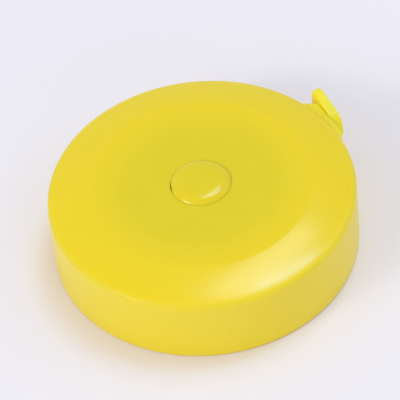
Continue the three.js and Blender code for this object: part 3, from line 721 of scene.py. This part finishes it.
COVER_R, COVER_T, SKIRT_IN, SKIRT_TOP = 23.2, 1.2, 22.4, 2.2
SEAT_IN, SEAT_OUT, SEAT_TOP = 4.2, 5.0, 1.8
COVER_EDGE, SKIRT_EDGE, SMALL_EDGE = 0.4, 0.2, 0.15
cover_profile = rounded_loop([
    (0, 0, 0), (COVER_R, 0, COVER_EDGE),
    (COVER_R, SKIRT_TOP, SKIRT_EDGE), (SKIRT_IN, SKIRT_TOP, SKIRT_EDGE), (SKIRT_IN, COVER_T, SKIRT_EDGE),
    (SEAT_OUT, COVER_T, SMALL_EDGE), (SEAT_OUT, SEAT_TOP, SMALL_EDGE),
    (SEAT_IN, SEAT_TOP, SMALL_EDGE), (SEAT_IN, COVER_T, SMALL_EDGE), (0, COVER_T, 0),
])
rear_cover = turned("rear_cover_disc", cover_profile)
dress(rear_cover, case_yellow, "case", "case_plastic", "rear_cover")

BUTTON_R, BUTTON_Z, BUTTON_TOP = 4.94, 11.2, 14.55
BUTTON_DOME, BUTTON_FLAT, BUTTON_EDGE, BUTTON_LEAN, BUTTON_SIDE = 0.16, 2.4, 1.6, 0.40, 13.5
BUTTON_BORE, BUTTON_ROOF = 2.6, 13.35
LIP_R, LIP_TOP, LIP_ROOT = 6.25, 11.7, 0.12
BUTTON_EDGE_ROWS, BUTTON_TOP_ROWS = 16, 20
GATE_DEPTH, GATE_HALF, GATE_REACH, GATE_SLACK = 0.14, 0.95, 0.5, 0.01
gate = from_photo((-1, -0.07, 0))


def gate_nick(r, z, a):
    """The trimmed gate: a dent in the upper edge, deepest at one angle, fading as a bell curve beside it."""
    away = np.arcsin(np.sin((a - math.atan2(gate.y, gate.x)) / 2)) * 2 * BUTTON_R
    near_edge = np.clip((r - BUTTON_R + GATE_REACH) / GATE_REACH, 0, 1)
    above_lip = (z > LIP_TOP + GATE_SLACK) * (r < BUTTON_R + GATE_SLACK)
    return GATE_DEPTH * near_edge * above_lip * np.exp(-(away / GATE_HALF) ** 2)


dome_r, dome_z = BUTTON_R - BUTTON_EDGE, BUTTON_TOP - BUTTON_DOME
edge_z = dome_z - (BUTTON_EDGE - BUTTON_LEAN) * BUTTON_DOME / (dome_r - BUTTON_FLAT)
button_profile = np.vstack([
    rounded_loop([
        (0, BUTTON_ROOF, 0), (BUTTON_BORE, BUTTON_ROOF, SMALL_EDGE), (BUTTON_BORE, BUTTON_Z, SMALL_EDGE),
        (LIP_R, BUTTON_Z, SMALL_EDGE), (LIP_R, LIP_TOP, SMALL_EDGE), (BUTTON_R, LIP_TOP, LIP_ROOT),
        (BUTTON_R, BUTTON_SIDE, 0),
    ]),
    bezier((BUTTON_R, BUTTON_SIDE), (BUTTON_R - BUTTON_LEAN, edge_z), (dome_r, dome_z), BUTTON_EDGE_ROWS),
    bezier((dome_r, dome_z), (BUTTON_FLAT, BUTTON_TOP), (0, BUTTON_TOP), BUTTON_TOP_ROWS),
])
push_button = turned("push_button_cap", button_profile, gate_nick)
dress(push_button, button_yellow, "button", "case_plastic", "push_button")

# %% [markdown]
# ## The pull tab
# A finger plate on the end of the tape: it stops the tape from slipping into the case, and it is higher at
# the end that stands free of the mouth, where a fingernail gets behind it. There its back edge is well
# rounded, and at the other end it is cut back below the middle. The tape passes through a slit, and a seat
# in the front face takes the metal crimp.
# The plate could be extruded from its outline, but its back edge changes along the way. It is a ring round
# its slit, so its grid runs round like a tyre: rows go from the slit over the back face, the rounded edge,
# the front face and the seat back to the slit, and columns are rays from the slit's middle.

# %% Pull tab
TAB_X, TAB_OUT, TAB_EDGE = 25.93, 27.7, 0.45
TAPE_MID = 6.7
SLIT_HALF, SEAT_HALF, SEAT_X = (0.425, 3.55), (0.9, 3.75), 26.5
TAB_OUTLINE = [(2.85, 2.3, 1.1), (10.3, 1.1, 2.2), (10.3, 12.3, 2.2),
               (1.95, 11.1, 2.8), (1.95, 7.4, 0.8), (2.85, 6.0, 0.8)]
LOOP_POINTS, TAB_RAYS, ROUND_ROWS = 1200, 200, 7
FACE_SHARES = (0.03, 0.2, 0.45, 0.7, 0.9)
BACK_EDGE, BACK_ROUND, BACK_DEPTH = 0.08, 1.2, 0.8
FREE_START, FREE_FULL = 5.0, 9.0


def ray_to_block(rays, half):
    """Distance from a block's middle to its edge along each ray: the nearer of its two pairs of sides."""
    across = np.maximum(np.abs(np.cos(rays)), NOTHING)
    up = np.maximum(np.abs(np.sin(rays)), NOTHING)
    return np.minimum(half[0] / across, half[1] / up)


def even_points(loop, count):
    """Points at even steps along a closed loop."""
    loop = np.vstack([loop, loop[:1]])
    run = np.concatenate([[0], np.cumsum(np.linalg.norm(np.diff(loop, axis=0), axis=1))])
    at = np.linspace(0, run[-1], count, endpoint=False)
    return np.column_stack([np.interp(at, run, loop[:, k]) for k in range(2)])


loop = even_points(rounded_loop(TAB_OUTLINE, steps=24, support=1.0), LOOP_POINTS) - (MOUTH_Y, TAPE_MID)
blocks = (SLIT_HALF, SEAT_HALF)
corner_rays = [math.atan2(v * half[1], h * half[0]) for half in blocks for h in (1, -1) for v in (1, -1)]
rays = np.unique(np.concatenate([np.linspace(-np.pi, np.pi, TAB_RAYS, endpoint=False), corner_rays]))
ray_ends = np.column_stack([np.cos(rays), np.sin(rays)])
reach = np.interp(rays, np.arctan2(loop[:, 1], loop[:, 0]), np.linalg.norm(loop, axis=1), period=2 * np.pi)
outline = reach[:, None] * ray_ends
heading = np.roll(outline, -1, axis=0) - np.roll(outline, 1, axis=0)
inwards = np.column_stack([-heading[:, 1], heading[:, 0]]) / np.linalg.norm(heading, axis=1, keepdims=True)
slit, seat = (ray_to_block(rays, half)[:, None] * ray_ends for half in blocks)
free = np.clip((outline[:, 0] + MOUTH_Y - FREE_START) / (FREE_FULL - FREE_START), 0, 1)
free = free ** 2 * (3 - 2 * free)
back_in, back_depth = (BACK_EDGE + (full - BACK_EDGE) * free for full in (BACK_ROUND, BACK_DEPTH))
back_rim, front_rim = outline + inwards * back_in[:, None], outline + inwards * TAB_EDGE
turn = np.linspace(0, np.pi / 2, ROUND_ROWS)[:, None, None]
shares = np.array(FACE_SHARES)[:, None, None]
back_face = slit + shares * (back_rim - slit)
front_face = front_rim + (1 - shares[::-1]) * (seat - front_rim)
back_round = outline + inwards * back_in[:, None] * (1 - np.sin(turn))
front_round = outline + inwards * TAB_EDGE * (1 - np.cos(turn))
tab_rows = [
    (slit[None], TAB_X), (back_face, TAB_X), (back_round, TAB_X + back_depth * (1 - np.cos(turn[:, 0]))),
    (front_round, TAB_OUT - TAB_EDGE * (1 - np.sin(turn[:, 0]))), (front_face, TAB_OUT),
    (seat[None], TAB_OUT), (seat[None], SEAT_X), (slit[None], SEAT_X),
]
plan = np.concatenate([rows for rows, _ in tab_rows])
ahead_x = np.concatenate([x + np.zeros(rows.shape[:2]) for rows, x in tab_rows])
tab_points = np.stack([ahead_x, plan[:, :, 0] + MOUTH_Y, plan[:, :, 1] + TAPE_MID], axis=-1)
tab_faces = grid_faces(*ahead_x.shape, wrap_rows=True, wrap_columns=True)
pull_tab = put_piece("pull_tab_plate", tab_points, tab_faces)
dress(pull_tab, tab_yellow, "tape_end", "case_plastic", "pull_tab")

# %% [markdown]
# ## Strips that stand on edge
# The tape, the mainspring and the crimp are all bands bent round upright lines. Each could be a curve with
# a flat bevel, but a curve's bevel twists and has no millimetres along it. Here a small rounded section is
# carried along a line of plan points, square to it, and the distance along the line becomes the u of a UV
# map for the print.

# %% Strip helper
def upright_strip(name, line, thickness, low, high, edge, along=None):
    """A rounded section (offset n, height z) carried along a plan line: point = line + n * left + z.

    Its ends close on their middles. UV: u is the distance along, or the given one, and v the height, with a
    fixed amount more on the left face.
    """
    line = np.asarray(line, float)
    heading = np.gradient(line, axis=0)
    heading /= np.linalg.norm(heading, axis=1, keepdims=True)
    left = np.column_stack([-heading[:, 1], heading[:, 0]])
    half = thickness / 2
    section = rounded_loop([(-half, low, edge), (-half, high, edge), (half, high, edge), (half, low, edge)],
                           steps=3, support=1.2)
    size = np.ones(len(line) + 2)
    size[[0, -1]] = 0.0
    rows = np.clip(np.arange(-1, len(line) + 1), 0, len(line) - 1)
    offset = section[:, 0] * size[:, None]
    height = (section[:, 1] - (low + high) / 2) * size[:, None] + (low + high) / 2
    flat = line[rows][:, None] + offset[..., None] * left[rows][:, None]
    points = np.concatenate([flat, height[..., None]], axis=-1)
    if along is None:
        along = np.concatenate([[0], np.cumsum(np.linalg.norm(np.diff(line, axis=0), axis=1))])
    v = section[:, 1] - low + np.where(section[:, 0] > 0, BACK_V, 0)
    uv = np.stack(np.broadcast_arrays(np.asarray(along)[rows][:, None], v), axis=-1)
    return put_piece(name, points, grid_faces(*offset.shape, wrap_columns=True), uv)


def spiral(inside, outside, turns, end_angle, steps_per_turn=96):
    """Plan points of a spiral that runs clockwise and outwards at a steady rate, ending at a given angle."""
    share = np.linspace(0, 1, round(turns * steps_per_turn) + 1)
    radius = inside + (outside - inside) * share
    angle = end_angle + 2 * np.pi * turns * (1 - share)
    return radius[:, None] * np.column_stack([np.cos(angle), np.sin(angle)])


# %% [markdown]
# ## The tape
# 1.56 m of tape is wound on the reel in about 15 turns. The last turn leaves the roll on a tangent, bends
# over the rounded guide in the wall and runs out through the slot into the crimp on the tab.
# When the tab is pulled, the roll turns with the reel. The lead is given no body and stays as it is at rest;
# the share of the way across the slot that each of its points has is worked out only for the map. The u of
# the map is the place that each point has on the tape when it is pulled right out, so the scale is true
# there.

# %% Tape roll and lead
TAPE_T, TAPE_LOW, TAPE_HIGH, TAPE_EDGE = 0.25, 3.45, 9.95, 0.07
ROLL_IN, ROLL_OUT, TAPE_LENGTH, PULL = 11.45, 21.7, 1560.0, 1500.0
BEND_R, LEAD_END, START_GAP, ROLL_ROOM = 2.0, 27.1, 0.3, 0.35
DRAW_START, DRAW_END = 24.1, 25.7
FREE_POINTS, BEND_POINTS, DRAW_POINTS, END_POINTS = 6, 25, 121, 8

leave_angle = math.atan2(GUIDE_Y, GUIDE_X) + math.acos((ROLL_OUT + BEND_R) / math.hypot(GUIDE_X, GUIDE_Y))
outwards = np.array([math.cos(leave_angle), math.sin(leave_angle)])
start = ROLL_OUT * outwards + START_GAP * np.array([outwards[1], -outwards[0]])
bend = leave_angle + math.pi + (math.pi / 2 - leave_angle) * np.linspace(0, 1, BEND_POINTS)
bend_points = np.column_stack([GUIDE_X + BEND_R * np.cos(bend), GUIDE_Y + BEND_R * np.sin(bend)])
drawn_x = np.linspace(DRAW_START, DRAW_END, DRAW_POINTS)
run_x = np.concatenate([drawn_x, np.linspace(DRAW_END, LEAD_END, END_POINTS)[1:]])
run = np.column_stack([run_x, np.full(len(run_x), MOUTH_Y)])
free = start + (bend_points[0] - start) * np.linspace(0, 1, FREE_POINTS)[:-1, None]
lead_line = np.vstack([free, bend_points, run])
lead_length = np.linalg.norm(np.diff(lead_line, axis=0), axis=1).sum()

share = np.clip((lead_line[:, 0] - DRAW_START) / (DRAW_END - DRAW_START), 0, 1)
pulled_x = lead_line[:, 0] + PULL * share ** 2 * (3 - 2 * share)
tape_lead = upright_strip("tape_lead_strip", lead_line, TAPE_T, TAPE_LOW, TAPE_HIGH, TAPE_EDGE,
                          along=PULL + TAB_OUT - pulled_x)
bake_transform(tape_lead)
dress(tape_lead, tape_cloth, None, "tape_cloth", "tape_lead")

roll_turns = (TAPE_LENGTH - lead_length) / (math.pi * (ROLL_IN + ROLL_OUT - ROLL_ROOM))
roll_line = spiral(ROLL_IN, ROLL_OUT - ROLL_ROOM, roll_turns, leave_angle)
roll_run = np.concatenate([[0], np.cumsum(np.linalg.norm(np.diff(roll_line, axis=0), axis=1))])
tape_roll = upright_strip("tape_roll_band", roll_line, TAPE_T, TAPE_LOW, TAPE_HIGH, TAPE_EDGE,
                          along=lead_length + roll_run[-1] - roll_run)
dress(tape_roll, tape_cloth, "reel", "tape_cloth", "tape_roll")
print(f"tape: {roll_turns:.2f} turns, {roll_run[-1] + lead_length:.0f} mm in all")

# %% [markdown]
# ## Steel: mainspring, crimp and return spring
# The mainspring is a thin band hooked in the post's slit and wound out to the hub, and the crimp is a scrap
# of sheet folded over the end of the tape. Both are upright strips again. The mainspring lies on the reel's
# web, so it sinks with the button and its tongue slides down the slit, but it doesn't turn, because the
# slit holds it. The return spring is round wire, so a circle is carried along a helix; the real one flattens
# by 1 mm when the button is pressed, but this one keeps its rest shape and stays with the case.

# %% Mainspring and crimp
SPRING_T, SPRING_LOW, SPRING_HIGH, SPRING_TURNS = 0.2, 6.5, 9.3, 9
SPRING_IN, SPRING_OUT, SPRING_EDGE, SPRING_STEPS = 2.4, 9.4, 0.04, 72
POST_R, TONGUE_GAP, TONGUE_POINTS = 2.0, 0.25, 5
coil = spiral(SPRING_IN, SPRING_OUT, SPRING_TURNS, 0.0, SPRING_STEPS)
tongue_x = np.linspace(POST_R / 2, SPRING_IN - TONGUE_GAP, TONGUE_POINTS)
spring_line = np.vstack([np.column_stack([tongue_x, np.zeros(TONGUE_POINTS)]), coil])
mainspring = upright_strip("mainspring_band", spring_line, SPRING_T, SPRING_LOW, SPRING_HIGH, SPRING_EDGE)
dress(mainspring, spring_steel, "button", "spring_steel", "mainspring")

CRIMP_X, CRIMP_SHEET, CRIMP_HALF, CRIMP_EDGE = 26.8, 0.3, 0.575, 0.06
CRIMP_LOW, CRIMP_HIGH = 3.15, 10.25
FOLD_ROUND, FOLD_STEPS = 0.3, 7
fold_x = TAB_OUT - CRIMP_SHEET / 2
near_leg, far_leg = MOUTH_Y - CRIMP_HALF, MOUTH_Y + CRIMP_HALF
fold = rounded_loop([(CRIMP_X, near_leg, 0), (fold_x, near_leg, FOLD_ROUND),
                     (fold_x, far_leg, FOLD_ROUND), (CRIMP_X, far_leg, 0)], steps=FOLD_STEPS)
# Each end of the open path came out as a whole corner of equal points, of which one is kept.
fold = fold[FOLD_STEPS + 1:-FOLD_STEPS - 1]
end_crimp = upright_strip("end_crimp_fold", fold, CRIMP_SHEET, CRIMP_LOW, CRIMP_HIGH, CRIMP_EDGE)
dress(end_crimp, spring_steel, "tape_end", "spring_steel", "end_crimp")

# %% Return spring
WIRE_R, HELIX_R, HELIX_LOW, HELIX_HIGH, HELIX_TURNS = 0.25, 3.65, 1.75, 4.85, 3
HELIX_STEPS, WIRE_SIDES = 64, 16


def wire_coil(name):
    """A circle of the wire's radius carried along a helix, its ends closed on their middles."""
    share = np.linspace(0, 1, HELIX_TURNS * HELIX_STEPS + 1)
    share = np.concatenate([[0], share, [1]])
    size = np.ones(len(share))
    size[[0, -1]] = 0
    turn = (2 * np.pi * HELIX_TURNS * share)[:, None]
    round_wire = np.linspace(0, 2 * np.pi, WIRE_SIDES, endpoint=False)
    out = HELIX_R + WIRE_R * size[:, None] * np.cos(round_wire)
    z = HELIX_LOW + (HELIX_HIGH - HELIX_LOW) * share[:, None] + WIRE_R * size[:, None] * np.sin(round_wire)
    points = np.stack([out * np.cos(turn), out * np.sin(turn), z], axis=-1)
    return put_piece(name, points, grid_faces(*out.shape, wrap_columns=True))


return_spring = wire_coil("return_spring_coil")
dress(return_spring, spring_steel, "case", "spring_steel", "return_spring")
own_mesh(return_spring)

# %% [markdown]
# ## Inner pieces from the CAD
# The post, the reel's drum and lid and the brake ring are turned or plain forms whose CAD shapes are right,
# so they stay as they are and only get their finish.

# %% Finishes on the CAD nodes
for node, finish in (("centre_post", grey_plastic), ("reel_drum", grey_plastic),
                     ("reel_lid", grey_plastic), ("brake_ring", brake_rubber)):
    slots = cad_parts[node].data.materials
    slots.clear()
    slots.append(finish)
    print(node, "is finished in", finish.name)

# %% [markdown]
# ## Floor, lamps and background
# The picture was taken on a pale table under soft boxes. The highlight on the crown starts at the crease
# and lies to the right of the camera, which puts the main box nearly overhead, behind and a little to the
# right. It has a brighter, cooler core, which draws the streak along the outer crown. The pale left wall
# and the glint on the button's left edge put a second box with a core at the left and in front. Two weak
# boxes at the front and the right keep the wall from going dark.
# One large lamp could do, but each of these lights one place, so its level can be found from that place.
# The main box is cool and its core clearly blue, because in the picture the streak gets paler without
# getting redder. The other tints are slight. All light together shows a colour about as it is written.

# %% Floor
FLOOR_COLOUR = (0.920, 0.842, 0.866, 1)
FLOOR_HALF, FLOOR_DROP = 4000.0, 0.03
corner = np.array([[-1, -1], [1, -1], [1, 1], [-1, 1]]) * FLOOR_HALF * MM
floor_mesh = bpy.data.meshes.new("floor")
floor_mesh.from_pydata([(x, y, -FLOOR_DROP * MM) for x, y in corner], [], [(0, 1, 2, 3)])
floor = bpy.data.objects.new("floor", floor_mesh)
bpy.context.scene.collection.objects.link(floor)
floor_paper, tree, shader = new_finish("floor_paper", Roughness=0.9, Specular_IOR_Level=0.2)
shader.inputs["Base Color"].default_value = FLOOR_COLOUR
floor_mesh.materials.append(floor_paper)
print("floor:", FLOOR_DROP, "mm below the case")

# %% Lamps and background
LAMP_DISTANCE = 1.2


def soft_box(name, direction, width, height, level, colour=(1, 1, 1)):
    """A rectangular lamp that faces the case, in a direction as the picture sees it.

    Level is the share of a plain white that it gives at right angles: power = level * pi^2 * distance^2.
    """
    lamp = bpy.data.lights.new(name, "AREA")
    lamp.shape = "RECTANGLE"
    lamp.size, lamp.size_y = width, height
    lamp.energy = level * math.pi ** 2 * LAMP_DISTANCE ** 2
    lamp.color = colour
    box = bpy.data.objects.new(name, lamp)
    towards = from_photo(direction).normalized()
    stand = Matrix.Translation(towards * LAMP_DISTANCE)
    box.matrix_world = stand @ towards.to_track_quat("Z", "Y").to_matrix().to_4x4()
    box.visible_camera = False
    bpy.context.scene.collection.objects.link(box)
    print(name, "gives", round(lamp.energy, 2), "W")


soft_box("main_strip", (0.175, 0.28, 0.95), 0.26, 0.62, 0.175, (0.68, 0.85, 1.0))
soft_box("main_core", (0.310, 0.190, 0.94), 0.06, 0.36, 0.13, (0.22, 0.56, 1.0))
soft_box("left_box", (-0.72, -0.48, 0.50), 0.60, 0.50, 0.215, (0.95, 1.0, 0.98))
soft_box("left_core", (-0.74, -0.44, 0.50), 0.16, 0.16, 0.08)
soft_box("front_box", (0.30, -0.90, 0.30), 1.20, 0.50, 0.105, (1.0, 0.96, 0.94))
soft_box("right_box", (0.80, 0.10, 0.60), 0.80, 0.60, 0.07)

WORLD_LEVEL = 0.60
BACKDROP = (0.80, 0.785, 0.83, 1)
world = bpy.data.worlds.new("studio")
world.use_nodes = True
bpy.context.scene.world = world
tree = world.node_tree
tree.nodes.clear()
path = tree.nodes.new("ShaderNodeLightPath").outputs
seen = calc(tree, "MAXIMUM", path["Is Camera Ray"], path["Is Glossy Ray"])
seen = calc(tree, "MAXIMUM", seen, path["Is Transmission Ray"])
light = place(tree, "ShaderNodeBackground", {"Color": (1, 1, 1, 1), "Strength": WORLD_LEVEL}).outputs[0]
backdrop = place(tree, "ShaderNodeBackground", {"Color": BACKDROP, "Strength": 1.0}).outputs[0]
mixed = place(tree, "ShaderNodeMixShader", {0: seen, 1: light, 2: backdrop}).outputs[0]
place(tree, "ShaderNodeOutputWorld", {"Surface": mixed})
bpy.context.scene.view_settings.view_transform = "Standard"
print("world: light", WORLD_LEVEL, "and a pale backdrop")
